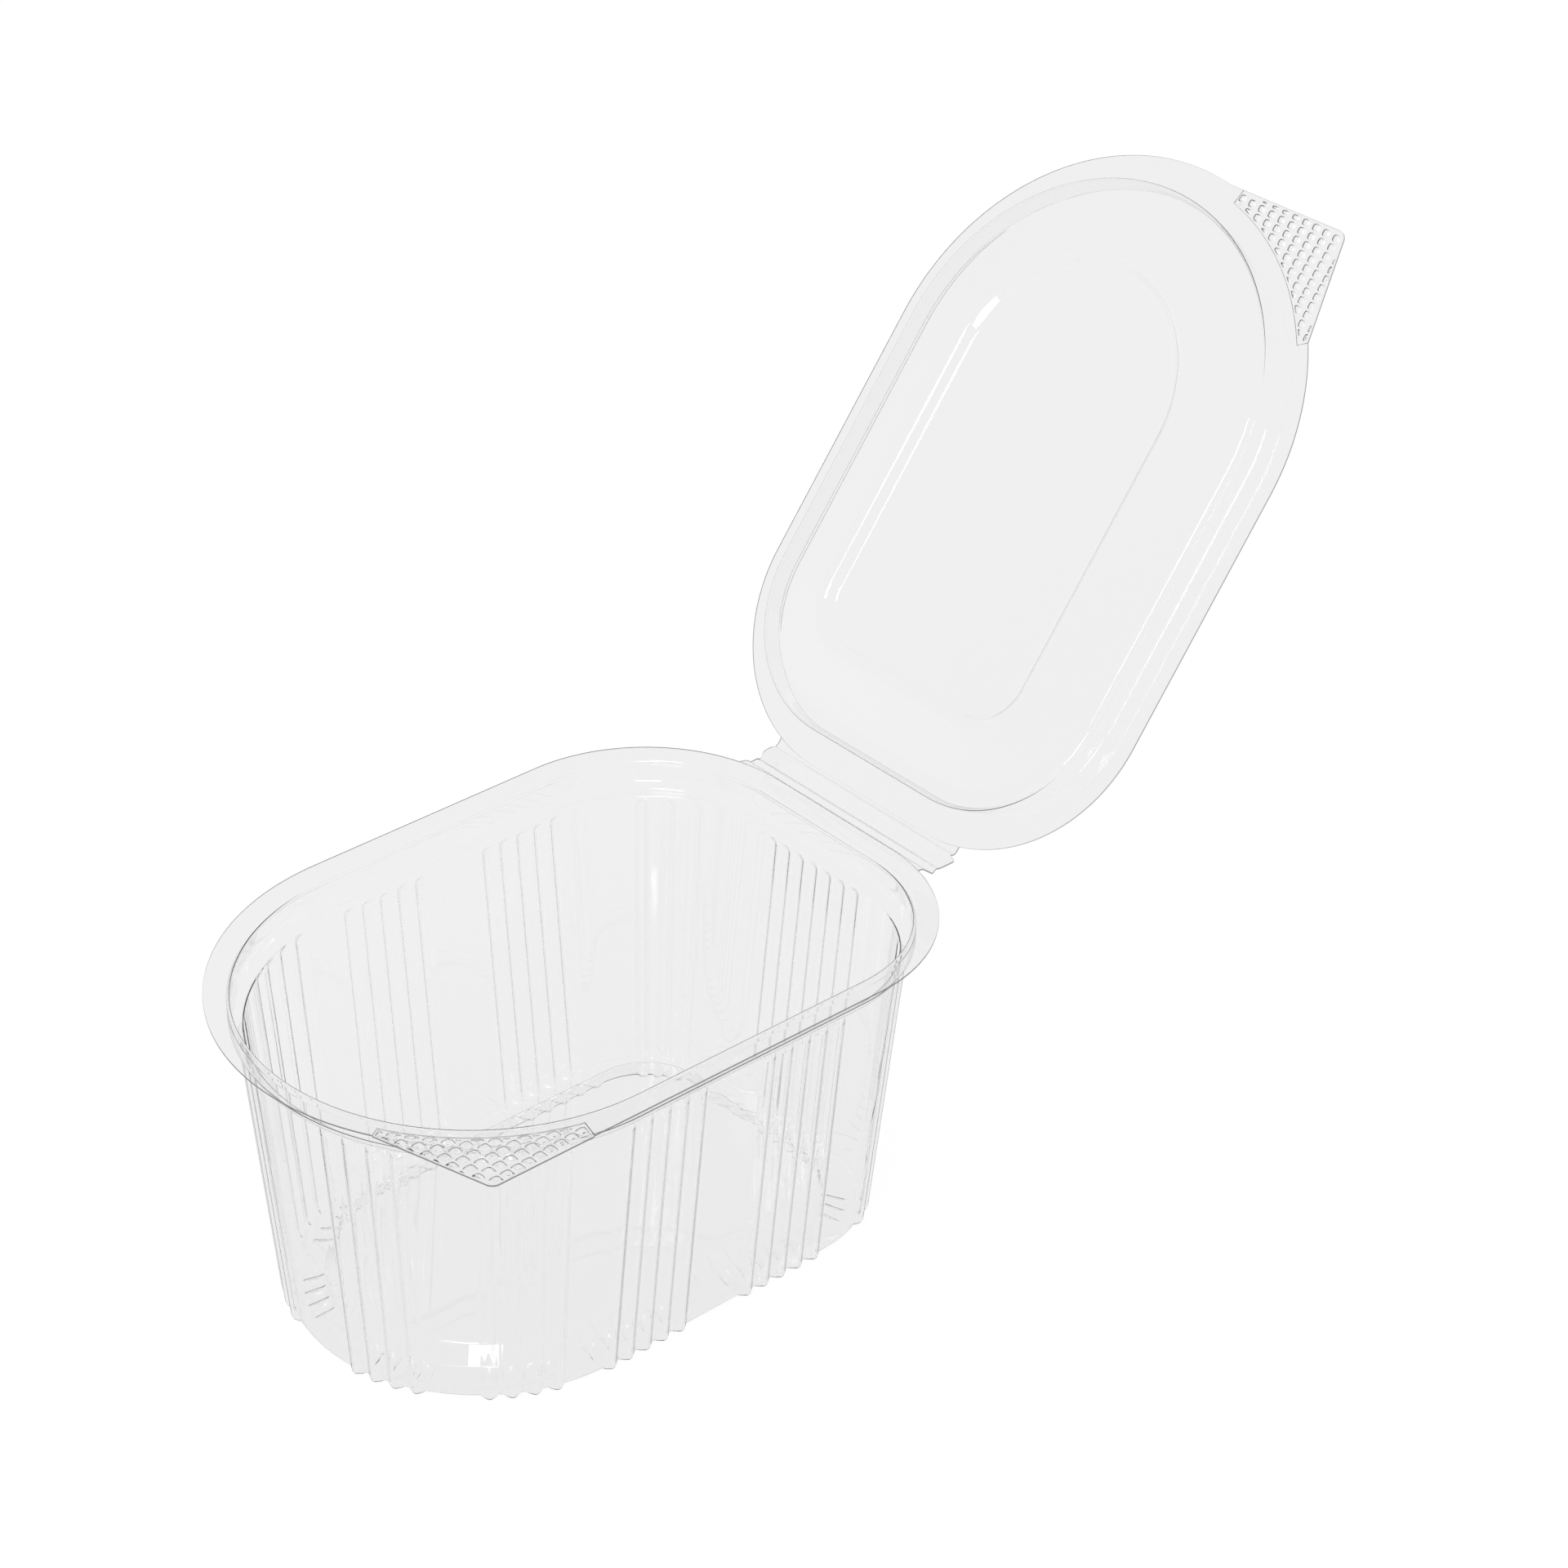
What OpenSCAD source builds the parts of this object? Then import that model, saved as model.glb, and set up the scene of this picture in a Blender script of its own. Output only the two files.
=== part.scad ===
// Clear thermoformed portion tub with a hinged plug-in lid, lid standing open.
// X runs across the tub, Y from its rounded front to the hinge, Z up.
// The tub stands on Z = 0, and X = 0 is its middle plane.
// Profiles are pairs: distance in from the flange's outline, height.

/* [Overall] */
// Half of the flange's width, and the radius of its rounded front
half_w = 42; // [38:0.5:50]
// Flange length, from the rounded front to the hinge crease
flange_l = 115.4; // [108:0.1:140]
// Outline radius of the two corners beside the hinge
corner_r = 28.3; // [26:0.1:32]
// Height of the flange's top face above the surface it stands on
rim_h = 56.3; // [40:0.1:80]
// Thickness of the sheet
sheet_t = 0.45; // [0.35:0.05:0.6]

/* [Tub neck] */
// Width of the flat flange round the mouth
flange_w = 4.3; // [3.6:0.1:4.6]
// How far the snap groove reaches out behind the flange's inner edge
groove_reach = 0.35; // [0.1:0.05:0.6]
// Depth of the groove's upper corner under the flange's top
groove_top = 1.6; // [1.2:0.1:2.4]
// Depth of the groove's lower corner under the flange's top
groove_low = 4.2; // [3.4:0.1:4.8]
// Depth of the ledge's outer edge under the flange's top
ledge_top = 5.5; // [5.2:0.1:6]
// Inset of the ledge's outer edge
ledge_in = 4.8; // [4.7:0.1:5.2]
// Depth of the ledge's inner edge, where the wall starts
wall_top = 6.1; // [5.9:0.1:7]
// Inset of the wall's top
wall_in = 6.1; // [5.8:0.1:6.8]

/* [Tub base] */
// Inset of the wall at the foot
foot_in = 10.4; // [9:0.1:12]
// Height at which the wall starts to round under
foot_round_h = 1.1; // [0.8:0.1:1.6]
// Middle of that rounding: how far further in
foot_turn_in = 0.35; // [0.2:0.05:0.5]
// Middle of that rounding: its height
foot_turn_h = 0.3; // [0.2:0.05:0.5]
// How far in the flat foot band starts from the wall
band_start = 1; // [0.8:0.1:1.4]
// Width of the flat foot band
band_w = 1.4; // [1:0.1:2]
// Width of the rising ring inside the band
ring_w = 3.8; // [3:0.1:4.4]
// Height to which the ring rises
ring_h = 1.1; // [0.6:0.1:1.6]
// Run of the step between ring and raised floor
step_run = 1.5; // [1:0.1:2]
// Height of the raised floor's underside
floor_h = 4.9; // [3.5:0.1:6]
// Width of the floor's edge band, which the floor plate overlaps
floor_edge = 1.6; // [1.2:0.1:2]
// How far the floor plate starts in from the floor's edge
floor_lap = 0.8; // [0.5:0.1:1]

/* [Flutes] */
// Radius of each half-round flute
flute_r = 1.25; // [0.9:0.05:1.3]
// How far a flute stands out from the wall
flute_out = 0.85; // [0.5:0.05:1]
// Distance between flutes
flute_pitch = 3.55; // [3.2:0.05:3.7]
// Depth of the flutes' rounded tops under the wall's top
flute_top = 1.3; // [1.2:0.1:4]
// How far the whole pattern is moved round the tub, clockwise from above
flute_shift = 1.4; // [0:0.1:1.5]
// Flutes in each group on the long sides
side_flutes = 5; // [3:1:5]
// Middle of the front group on the long sides, behind the end of the rounded front
side_front_run = 8.2; // [7:0.1:9]
// Middle of the rear group on the long sides, ahead of the corner
side_rear_run = 8.9; // [7:0.1:9]
// Flutes in each group round the front
front_flutes = 4; // [3:1:4]
// Angles of the groups round the front, from the side
front_angles = [25, 65, 115, 155];
// Flutes in each group at the corners beside the hinge
corner_flutes = 3; // [2:1:4]
// Angle of the corner groups, from the side
corner_angle = 45; // [44:1:48]
// Flutes under the hinge
back_flutes = 7; // [3:1:7]
// Distance between the flutes under the hinge
back_pitch = 3.3; // [3:0.1:3.4]
// Height above the foot at which the hollow in a flute ends
flute_floor = 2.2; // [1.9:0.1:3]
// Height of the teeth's middle line under the ring
tooth_h = 0.45; // [0.3:0.05:0.7]

/* [Hinge] */
// Half of the hinge strip's length
strip_half_l = 22; // [18:0.5:24]
// Width of the hinge strip behind the crease
strip_w = 7; // [6.5:0.1:7]
// How far the strip reaches in over the flange, to meet its curved corners
strip_lap = 2.6; // [2.4:0.1:3.2]
// Radius of the notch at each end of the strip
notch_r = 1.5; // [1:0.1:1.8]
// Hinge line's distance behind the crease
hinge_back = 3.57; // [3.4:0.01:3.8]
// Hinge line's depth under the flange's top
hinge_drop = 1.68; // [1.6:0.01:1.8]
// Opening of the lid, from closed
lid_open = 127.6; // [90:0.1:180]

/* [Lid] */
// Room between the two flanges when the lid is shut
lid_gap = 0.3; // [0.2:0.05:0.5]
// Inset of the plug's wall
plug_in = 5.2; // [5.1:0.1:5.6]
// Depth at which the plug's wall starts to round over
plug_wall_h = 3.8; // [3:0.1:4]
// Middle of the plug's rounding: inset
plug_turn_in = 5.55; // [5.5:0.05:5.9]
// Middle of the plug's rounding: depth
plug_turn_h = 4.6; // [4.3:0.1:4.7]
// Inset of the plug's crest
crest_in = 6.3; // [6.1:0.1:6.8]
// Depth of the plug's crest
crest_h = 5; // [4.8:0.1:5.1]
// Inset of the panel's edge
panel_in = 8.6; // [8:0.1:9.5]
// Depth of the panel's edge
panel_h = 4.4; // [4:0.1:4.7]
// Inset of the sunk oval's rim
oval_in = 19; // [17:0.1:20]
// Depth of the sunk oval's rim
oval_h = 7.4; // [5:0.1:8]
// Inset of the sunk oval's floor
sunk_in = 20.9; // [20.6:0.1:22]
// Depth of the sunk oval's floor
sunk_h = 5.4; // [3:0.1:6]

/* [Tabs] */
// Where the tub's tab starts on the rounded front, as an angle from its middle
tub_tab_angle = 30; // [27:0.5:32]
// Where that edge meets the side line, back from the rounded front
tub_tab_y = 11.4; // [9:0.1:13]
// Corner radius of the tub's tab
tub_tab_r = 1.6; // [1:0.1:2.4]
// Where the lid's tab starts on the front, out from the middle plane
lid_tab_x = 6; // [5:0.5:10]
// Side corner of the lid's tab, out from the middle plane
lid_tab_corner = 31; // [29:0.5:32]
// Where the lid tab's side edge ends on the outline, out from the middle plane
lid_tab_end_x = 34.5; // [33:0.1:35.5]
// The same point, back from the rounded front
lid_tab_end_y = 18; // [17:0.1:19]
// Corner radius of the lid's tab
lid_tab_r = 1.6; // [1:0.1:2.4]
// How far both tabs run in under the flange line, to join it
tab_lap = 2; // [1:0.1:3]

/* [Hidden] */
$fa = 4;
$fs = 0.3;
half = 1 / 2;
full_turn = 360;
half_turn = full_turn * half;
quarter_turn = half_turn * half;
// Overrun of everything that cuts
over = sheet_t;
// Worked-out points are rounded to this, so that neighbouring pieces meet exactly
grain = 0.001;
function snap(v) = round(v / grain) * grain;

// Depth reached by the open lid behind the hinge, which centres the part on the origin
lid_far_y = flange_l + hinge_back - (flange_l + hinge_back) * cos(lid_open) + (lid_gap + hinge_drop + sheet_t) * sin(lid_open);
front_y = -snap(lid_far_y * half);
crease_y = front_y + flange_l;
arc_y = front_y + half_w;
corner_y = crease_y - corner_r;
corner_x = half_w - corner_r;
side_l = corner_y - arc_y;
wall_z = rim_h - wall_top;

band_in = foot_in + band_start;
ring_in = band_in + band_w;
step_in = ring_in + ring_w;
floor_in = step_in + step_run;
core_in = floor_in + floor_lap;
edge_in = floor_in + floor_edge;

// Outside face of the tub's sheet, from the flange's edge to the raised floor
tub_outside = [
    [0, rim_h - sheet_t],
    [flange_w - sheet_t, rim_h - sheet_t],
    [flange_w - sheet_t - groove_reach, rim_h - groove_top],
    [flange_w - sheet_t - groove_reach, rim_h - groove_low],
    [ledge_in - sheet_t, rim_h - ledge_top - sheet_t * half],
    [wall_in - sheet_t, rim_h - wall_top],
    [foot_in, foot_round_h],
    [foot_in + foot_turn_in, foot_turn_h],
    [band_in, 0],
    [ring_in, 0],
    [step_in, ring_h],
    [floor_in, floor_h],
    [edge_in, floor_h]
];

// Underside of the lid's sheet, from its edge to the floor of the sunk oval
lid_underside = [
    [0, 0],
    [plug_in, 0],
    [plug_in, -plug_wall_h],
    [plug_turn_in, -plug_turn_h],
    [crest_in, -crest_h],
    [panel_in, -panel_h],
    [oval_in, -oval_h],
    [sunk_in, -sunk_h],
    [sunk_in + floor_edge, -sunk_h]
];

// Unit direction of a line's step i, and the same turned a quarter to the left
function step_dir(line, i) = (line[i + 1] - line[i]) / norm(line[i + 1] - line[i]);
function left_of(v) = [-v[1], v[0]];

// Normal at a line's point i, long enough for the sheet to keep its thickness round the bend
function bend_normal(line, i) =
    let (last = len(line) - 1)
    let (before = left_of(step_dir(line, max(i - 1, 0))))
    let (after = left_of(step_dir(line, min(i, last - 1))))
    (before + after) / (1 + before * after);

// The line moved one sheet's thickness to its left
function other_face(line) =
    [for (i = [0 : len(line) - 1])
        let (p = line[i] + sheet_t * bend_normal(line, i))
        [snap(p[0]), snap(p[1])]];

function reversed(line) = [for (i = [len(line) - 1 : -1 : 0]) line[i]];

// Carries a profile round the flange's outline: front arc, two sides, two corners and back
module round_outline(profile) {
    front = [for (p = profile) [half_w - p[0], p[1]]];
    corner = [for (p = profile) [corner_r - p[0], p[1]]];
    left = [for (p = profile) [p[0] - half_w, p[1]]];
    back = [for (p = profile) [crease_y - p[0], p[1]]];
    translate([0, arc_y, 0])
        rotate([0, 0, half_turn])
            rotate_extrude(angle = half_turn)
                polygon(front);
    translate([corner_x, corner_y, 0])
        rotate_extrude(angle = quarter_turn)
            polygon(corner);
    translate([-corner_x, corner_y, 0])
        rotate([0, 0, quarter_turn])
            rotate_extrude(angle = quarter_turn)
                polygon(corner);
    translate([0, corner_y, 0])
        rotate([quarter_turn, 0, 0])
            linear_extrude(height = side_l)
                polygon(front);
    translate([0, corner_y, 0])
        rotate([quarter_turn, 0, 0])
            linear_extrude(height = side_l)
                polygon(left);
    translate([-corner_x, 0, 0])
        rotate([quarter_turn, 0, quarter_turn])
            linear_extrude(height = corner_x + corner_x)
                polygon(back);
}

// A solid plate of the flange's outline, drawn in by inset, from height low to high
module outline_plate(inset, low, high) {
    translate([0, arc_y, low])
        cylinder(r = half_w - inset, h = high - low);
    for (x = [-corner_x, corner_x])
        translate([x, corner_y, low])
            cylinder(r = corner_r - inset, h = high - low);
    translate([inset - half_w, arc_y, low])
        cube([half_w + half_w - inset - inset, side_l, high - low]);
    translate([-corner_x, arc_y, low])
        cube([corner_x + corner_x, crease_y - inset - arc_y, high - low]);
}

// Everything inside the tub's outside faces
module tub_outer() {
    round_outline(concat(tub_outside, [[edge_in, rim_h], [0, rim_h]]));
    outline_plate(core_in, floor_h, rim_h);
}

// The room inside the tub, up past its mouth
module tub_room() {
    inside = other_face(tub_outside);
    mouth = [for (i = [1 : len(inside) - 1]) inside[i]];
    round_outline(concat(mouth, [[edge_in, rim_h + over], [mouth[0][0], rim_h + over]]));
    outline_plate(core_in, floor_h + sheet_t, rim_h + over);
}

// Lean of the walls and of the flutes on them
lean = atan((foot_in - wall_in + sheet_t) / (wall_z - foot_round_h));
flute_sink = flute_r - flute_out;

// One flute as a round rod along the wall, from height low up to its round top.
// edge_x is the flange's outline; X points out of the wall
module wall_rod(edge_x, radius, low) {
    top_z = wall_z - flute_top;
    rise = (top_z - low) / cos(lean);
    foot_x = edge_x - foot_in - flute_sink + (low - foot_round_h) * tan(lean);
    translate([foot_x, 0, low])
        rotate([0, lean, 0]) {
            cylinder(r = radius, h = rise);
            translate([0, 0, rise])
                sphere(r = radius);
        }
}

// One tooth under the foot ring, the flute's continuation
module foot_tooth(edge_x) {
    translate([edge_x - step_in, 0, tooth_h])
        rotate([0, quarter_turn, 0])
            cylinder(r = flute_r, h = step_in - foot_in);
}

// Places its child at every flute of the tub, X pointing out of the wall
module on_front() {
    turn = flute_pitch / (half_w - foot_in) * half_turn / PI;
    shift = flute_shift / (half_w - foot_in) * half_turn / PI;
    for (middle = front_angles)
        for (i = [0 : front_flutes - 1])
            translate([0, arc_y, 0])
                rotate([0, 0, (i - (front_flutes - 1) * half) * turn - middle - shift])
                    children();
}

module on_corners() {
    turn = flute_pitch / (corner_r - foot_in) * half_turn / PI;
    shift = flute_shift / (corner_r - foot_in) * half_turn / PI;
    for (i = [0 : corner_flutes - 1]) {
        angle = corner_angle + (i - (corner_flutes - 1) * half) * turn;
        translate([corner_x, corner_y, 0])
            rotate([0, 0, angle - shift])
                children();
        translate([-corner_x, corner_y, 0])
            rotate([0, 0, half_turn - angle - shift])
                children();
    }
}

module on_sides() {
    for (middle = [arc_y + side_front_run, corner_y - side_rear_run])
        for (i = [0 : side_flutes - 1]) {
            along = middle + (i - (side_flutes - 1) * half) * flute_pitch;
            translate([0, along - flute_shift, 0])
                children();
            translate([0, along + flute_shift, 0])
                rotate([0, 0, half_turn])
                    children();
        }
}

module on_back() {
    for (i = [0 : back_flutes - 1])
        translate([flute_shift + (i - (back_flutes - 1) * half) * back_pitch, 0, 0])
            rotate([0, 0, quarter_turn])
                children();
}

// The flutes as solid rods: outer ones reach below the surface, to be cut flat there
module all_rods(radius, low) {
    on_front() wall_rod(half_w, radius, low);
    on_corners() wall_rod(corner_r, radius, low);
    on_sides() wall_rod(half_w, radius, low);
    on_back() wall_rod(crease_y, radius, low);
}

module all_teeth() {
    on_front() foot_tooth(half_w);
    on_corners() foot_tooth(corner_r);
    on_sides() foot_tooth(half_w);
    on_back() foot_tooth(crease_y);
}

// Cuts everything below the surface that the tub stands on
module below_ground() {
    depth = rim_h;
    translate([-half_w, front_y, -depth])
        cube([half_w + half_w, flange_l, depth]);
}

// The hinge strip behind the crease, a notch in each end
module hinge_strip() {
    difference() {
        translate([-strip_half_l, crease_y - strip_lap, rim_h - sheet_t])
            cube([strip_half_l + strip_half_l, strip_lap + strip_w, sheet_t]);
        for (side = [-strip_half_l, strip_half_l])
            translate([side, crease_y + strip_w * half, rim_h - sheet_t - over])
                cylinder(r = notch_r, h = sheet_t + over + over);
    }
}

// Flat tab with a rounded corner between two straight edges: start, corner and end
// are its points in plan, and back_to is where it joins the flange
module flat_tab(start, corner, end, back_to, radius) {
    before = (start - corner) / norm(start - corner);
    after = (end - corner) / norm(end - corner);
    bend = acos(before * after) * half;
    reach = radius / tan(bend);
    centre = corner + (before + after) / norm(before + after) * radius / sin(bend);
    linear_extrude(height = sheet_t)
        polygon([start, corner + before * reach, centre, corner + after * reach, end, back_to]);
    translate([centre[0], centre[1], 0])
        cylinder(r = radius, h = sheet_t);
}

// Point on the front arc of the outline drawn in by inset, x out from the middle plane
function on_arc(x, inset) = [x, arc_y - sqrt((half_w - inset) * (half_w - inset) - x * x)];

// The tab runs in to the front's centre, and is cut back to its lap under the flange
module tub_tab() {
    start = on_arc(half_w * sin(tub_tab_angle), 0);
    corner = [half_w, front_y + tub_tab_y];
    end = [half_w, arc_y];
    difference() {
        translate([0, 0, rim_h - sheet_t])
            flat_tab(start, corner, end, [0, arc_y], tub_tab_r);
        translate([0, arc_y, rim_h - sheet_t - over])
            cylinder(r = half_w - tab_lap, h = sheet_t + over + over);
    }
}

module tub() {
    color([0.92, 0.93, 0.93, 0.35]) {
        difference() {
            union() {
                tub_outer();
                all_rods(flute_r, -flute_r);
                all_teeth();
            }
            tub_room();
            all_rods(flute_r - sheet_t, flute_floor);
            below_ground();
        }
        hinge_strip();
        tub_tab();
    }
}

// The lid shut, its flange's underside at height 0
module lid_shut() {
    round_outline(concat(lid_underside, reversed(other_face(lid_underside))));
    outline_plate(sunk_in + floor_lap, -sunk_h, sheet_t - sunk_h);
    start = on_arc(lid_tab_x, 0);
    corner = [lid_tab_corner, front_y];
    end = [lid_tab_end_x, front_y + lid_tab_end_y];
    flat_tab(start, corner, end, on_arc(lid_tab_corner, tab_lap), lid_tab_r);
}

module lid() {
    color([0.92, 0.93, 0.93, 0.35])
        translate([0, crease_y + hinge_back, rim_h - hinge_drop])
            rotate([-lid_open, 0, 0])
                translate([0, -crease_y - hinge_back, hinge_drop + lid_gap])
                    lid_shut();
}

tub();
lid();
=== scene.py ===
"""Clear thermoformed portion tub with a hinged plug-in lid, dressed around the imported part.

Every surface is a thin sheet: an outside face is worked out as a grid of points, whose columns
run round the flange's outline and whose rows run down one profile, and the inside face is the
same grid moved one sheet's thickness along its normals.
Lengths are in millimetres inside the classes and become metres when a mesh is made.
"""

import logging
import math
from dataclasses import dataclass, field
from enum import Enum
from typing import ClassVar

import bpy
import numpy as np
from mathutils import Matrix, Vector


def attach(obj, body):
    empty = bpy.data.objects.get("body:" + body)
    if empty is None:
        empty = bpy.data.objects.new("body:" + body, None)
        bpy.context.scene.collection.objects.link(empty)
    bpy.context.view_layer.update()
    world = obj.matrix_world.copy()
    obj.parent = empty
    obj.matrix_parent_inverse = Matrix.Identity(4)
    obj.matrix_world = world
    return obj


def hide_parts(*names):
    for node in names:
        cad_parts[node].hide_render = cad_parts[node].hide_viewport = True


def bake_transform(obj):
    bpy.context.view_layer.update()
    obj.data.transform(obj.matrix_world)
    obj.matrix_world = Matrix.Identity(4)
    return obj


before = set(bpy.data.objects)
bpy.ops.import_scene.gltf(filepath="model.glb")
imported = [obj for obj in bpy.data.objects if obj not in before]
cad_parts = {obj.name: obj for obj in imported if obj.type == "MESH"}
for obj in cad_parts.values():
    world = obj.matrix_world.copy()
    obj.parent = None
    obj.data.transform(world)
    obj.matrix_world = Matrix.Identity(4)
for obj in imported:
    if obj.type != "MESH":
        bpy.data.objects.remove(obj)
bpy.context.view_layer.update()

SHARP_ANGLE = 55.0
MM = 0.001
RIM_H = 56.3
TAB_LEVEL = 55.85
LID_LEVEL = 56.6
log = logging.getLogger("tub")


class Body(Enum):
    """The part's moving bodies, by their names in the record."""

    TUB = "tub"
    LID = "lid"


class Finish(Enum):
    """A face's finish: the sheet, its cut edge, or an edge joined to the next piece."""

    SHEET = 0
    CUT = 1
    JOINT = 2


@dataclass(frozen=True)
class Fillet:
    """One corner of a profile: its inset and height in mm, and how far it is rounded.

    An arc takes at most LEG_SHARE of each leg beside it."""

    LEG_SHARE: ClassVar[float] = 0.48
    inset: float
    height: float
    radius: float = 0.0
    steps: int = 0


def rounded_profile(corners: list[Fillet]) -> np.ndarray:
    """Samples a profile whose corners are rounded by arcs.

    Each arc touches both of its legs at radius * tan(turn / 2) from the corner, and its points
    follow a quadratic blend between them that keeps within a few hundredths of the circle.

    Args:
        corners: the profile's corners from the edge inwards.

    Returns:
        Array of inset and height pairs, shape (rows, 2).
    """
    out: list[np.ndarray] = []
    for i, c in enumerate(corners):
        p = np.array([c.inset, c.height])
        if c.steps == 0 or i in (0, len(corners) - 1):
            out.append(p[None])
            continue
        before = np.array([corners[i - 1].inset, corners[i - 1].height]) - p
        after = np.array([corners[i + 1].inset, corners[i + 1].height]) - p
        room = Fillet.LEG_SHARE * min(np.linalg.norm(before), np.linalg.norm(after))
        before /= np.linalg.norm(before)
        after /= np.linalg.norm(after)
        turn = math.pi - math.acos(float(np.clip(before @ after, -1, 1)))
        reach = min(c.radius * math.tan(turn / 2), room)
        radius = reach / math.tan(turn / 2)
        bisector = (before + after) / np.linalg.norm(before + after)
        centre = p + bisector * math.hypot(radius, reach)
        first = p + before * reach - centre
        last = p + after * reach - centre
        share = np.linspace(0, 1, c.steps)[:, None]
        out.append(
            centre
            + (np.sin((1 - share) * turn) * first + np.sin(share * turn) * last)
            / math.sin(turn)
        )
    return np.concatenate(out)


@dataclass(frozen=True)
class TabPlan:
    """A lifting tab in plan: two straight edges that meet in a rounded corner.

    start, corner and end are points in mm from the middle of the round front."""

    start: tuple[float, float]
    corner: tuple[float, float]
    end: tuple[float, float]
    radius: float = 1.6

    def reach(self, normal: np.ndarray, flange: float) -> np.ndarray:
        """How far the tab stands out of the flange along each outward normal.

        A ray from the front's centre meets each edge at offset / (normal . edge normal). The
        nearer edge counts, and near the corner the rounding circle does.

        Args:
            normal: outward normals, shape (n, 2).
            flange: radius of the flange's round front.

        Returns:
            Distance past the flange's outline, zero where there is no tab, shape (n,).
        """
        a, c, b = (np.array(p, float) for p in (self.start, self.corner, self.end))
        hits, touch = [], []
        before, after = (a - c) / np.linalg.norm(a - c), (b - c) / np.linalg.norm(b - c)
        bend = math.acos(float(before @ after)) / 2
        for along in (before, after):
            side = np.array([along[1], -along[0]])
            side = side if side @ c > 0 else -side
            facing = normal @ side
            hits.append(np.where(facing > 1e-6, (side @ c) / np.maximum(facing, 1e-6), 1e3))
            touch.append(c + along * self.radius / math.tan(bend))
        far = np.minimum(*hits)
        inwards = (before + after) / np.linalg.norm(before + after)
        middle = c + inwards * self.radius / math.sin(bend)
        along = normal @ middle
        gap = self.radius**2 - middle @ middle + along**2
        round_hit = along + np.sqrt(np.maximum(gap, 0))
        heading = np.arctan2(normal[:, 0], -normal[:, 1])
        low, high = sorted(math.atan2(t[0], -t[1]) for t in touch)
        near_corner = (heading > low) & (heading < high)
        far = np.where(near_corner, round_hit, far)
        forward = (normal[:, 1] < 0) & (normal[:, 0] > 0)
        return np.where(forward, np.maximum(far - flange, 0.0), 0.0)


@dataclass(frozen=True)
class Outline:
    """The flange's outline: round front, straight sides, two corners, straight back."""

    half_w: float = 42.0
    length: float = 115.4
    corner_r: float = 28.3
    front_y: float = -96.742

    @property
    def crease_y(self) -> float:
        """Where the hinge crease lies."""
        return self.front_y + self.length

    @property
    def arc_y(self) -> float:
        """Centre of the round front."""
        return self.front_y + self.half_w

    @property
    def corner_y(self) -> float:
        """Centre of the two corners, along the length."""
        return self.crease_y - self.corner_r

    @property
    def corner_x(self) -> float:
        """Centre of the two corners, out from the middle."""
        return self.half_w - self.corner_r

    @property
    def lengths(self) -> np.ndarray:
        """Lengths of the seven stretches, from the middle of the back round by +X."""
        side = self.corner_y - self.arc_y
        corner = self.corner_r * math.pi / 2
        front = self.half_w * math.pi
        return np.array([self.corner_x, corner, side, front, side, corner, self.corner_x])

    def at(self, run: np.ndarray) -> tuple[np.ndarray, np.ndarray, np.ndarray]:
        """Points on the outline.

        The heading turns from 0 at the back to 90 degrees on +X, 180 at the front and 270 on
        -X. A point is the stretch's centre plus its radius times the heading's unit vector,
        or the stretch's start plus the run along it where it is straight.

        Args:
            run: distance along the outline from the middle of the back, in mm.

        Returns:
            Points (n, 2), outward normals (n, 2) and radius of curvature (n,), 0 if straight.
        """
        starts = np.concatenate([[0.0], np.cumsum(self.lengths)])
        run = np.mod(run, starts[-1])
        part = np.clip(np.searchsorted(starts, run, side="right") - 1, 0, 6)
        along = run - starts[part]
        quarter = math.pi / 2
        heading0 = np.array([0, 0, quarter, quarter, 3 * quarter, 3 * quarter, 4 * quarter])
        radius = np.array([0, self.corner_r, 0, self.half_w, 0, self.corner_r, 0])[part]
        heading = heading0[part] + np.where(radius > 0, along / np.maximum(radius, 1e-9), 0)
        normal = np.stack([np.sin(heading), np.cos(heading)], 1)
        ahead = np.stack([normal[:, 1], -normal[:, 0]], 1)
        centre = np.array(
            [
                [0, self.crease_y],
                [self.corner_x, self.corner_y],
                [self.half_w, self.corner_y],
                [0, self.arc_y],
                [-self.half_w, self.arc_y],
                [-self.corner_x, self.corner_y],
                [-self.corner_x, self.crease_y],
            ]
        )[part]
        straight = np.where(radius > 0, 0, along)[:, None] * ahead
        return centre + radius[:, None] * normal + straight, normal, radius


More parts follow.
